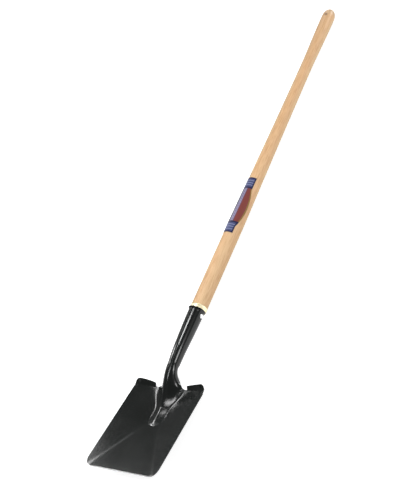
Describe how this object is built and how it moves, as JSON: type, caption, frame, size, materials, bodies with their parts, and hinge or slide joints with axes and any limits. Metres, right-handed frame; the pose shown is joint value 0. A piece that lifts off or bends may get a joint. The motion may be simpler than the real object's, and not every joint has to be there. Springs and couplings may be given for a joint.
{
  "type": "square-point shovel",
  "caption": "Long-handled square-point shovel: black steel blade and socket, tapered ash handle, brass-coloured ferrule, rivet and a plain printed label.",
  "frame": {"origin": "centre of the bounding box in plan, on the ground that the shovel lies on", "axes": "the shovel lies on its back with the hollow of the blade facing +Z; the handle runs towards +Y and the blade's cutting edge towards -Y; X is across, and the shovel mirrors about X = 0"},
  "size_m": [0.2412, 1.4806, 0.0543],
  "materials": {
    "enamel": "gloss black enamel",
    "ash": "clear lacquer",
    "brass": "plated, satin",
    "zinc": "zinc plated",
    "film": "printed film"
  },
  "bodies": {
    "root": {"blade": "enamel", "handle": "ash", "ferrule": "brass", "rivet": "zinc", "label": "film"}
  },
  "joints": []
}
